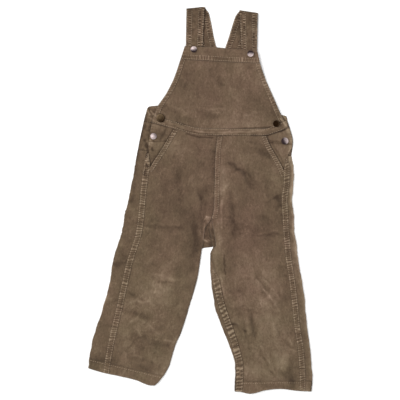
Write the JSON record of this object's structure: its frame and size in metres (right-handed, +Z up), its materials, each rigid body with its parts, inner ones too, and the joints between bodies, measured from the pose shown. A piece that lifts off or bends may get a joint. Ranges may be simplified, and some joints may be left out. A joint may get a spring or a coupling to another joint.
{
  "type": "bib overalls",
  "caption": "Small child's bib overalls in brown fine corduroy, laid flat with the front up: bib, folded shoulder straps, waist band, slanted pockets, long straight legs and metal buttons.",
  "frame": {"origin": "centre of the garment's outline, on the surface that it lies on", "axes": "+Z up out of the garment's front, +Y from the hems to the shoulder straps, +X to the right as seen from above"},
  "size_m": [0.3928, 0.6782, 0.0096],
  "materials": {
    "corduroy": "fine-wale cotton corduroy, matt, softly worn",
    "corduroy_seams": "the same corduroy, turned and felled, rubbed paler along the ridges",
    "corduroy_back": "the same corduroy on the back panels, less worn",
    "dark_bronze": "dark bronze, oxidised, satin",
    "antique_silver": "antique silver, worn bright on the dome"
  },
  "bodies": {
    "root": {"leg_front_left": "corduroy", "leg_front_right": "corduroy", "pocket_facing_left": "corduroy", "pocket_facing_right": "corduroy", "strap_left": "corduroy", "strap_right": "corduroy", "bib_front": "corduroy", "leg_hem_left": "corduroy_seams", "leg_hem_right": "corduroy_seams", "pocket_hem_left": "corduroy_seams", "pocket_hem_right": "corduroy_seams", "side_seam_left": "corduroy_seams", "side_seam_right": "corduroy_seams", "inseam_right": "corduroy_seams", "centre_front_seam": "corduroy_seams", "bib_hem": "corduroy_seams", "armhole_hem_left": "corduroy_seams", "armhole_hem_right": "corduroy_seams", "waist_band": "corduroy_seams", "back_bodice": "corduroy_back", "leg_back_left": "corduroy_back", "leg_back_right": "corduroy_back", "hip_button_upper_left": "dark_bronze", "hip_button_upper_right": "dark_bronze", "strap_button_left": "antique_silver", "strap_button_right": "antique_silver", "hip_button_lower_left": "antique_silver", "hip_button_lower_right": "antique_silver"}
  },
  "joints": []
}
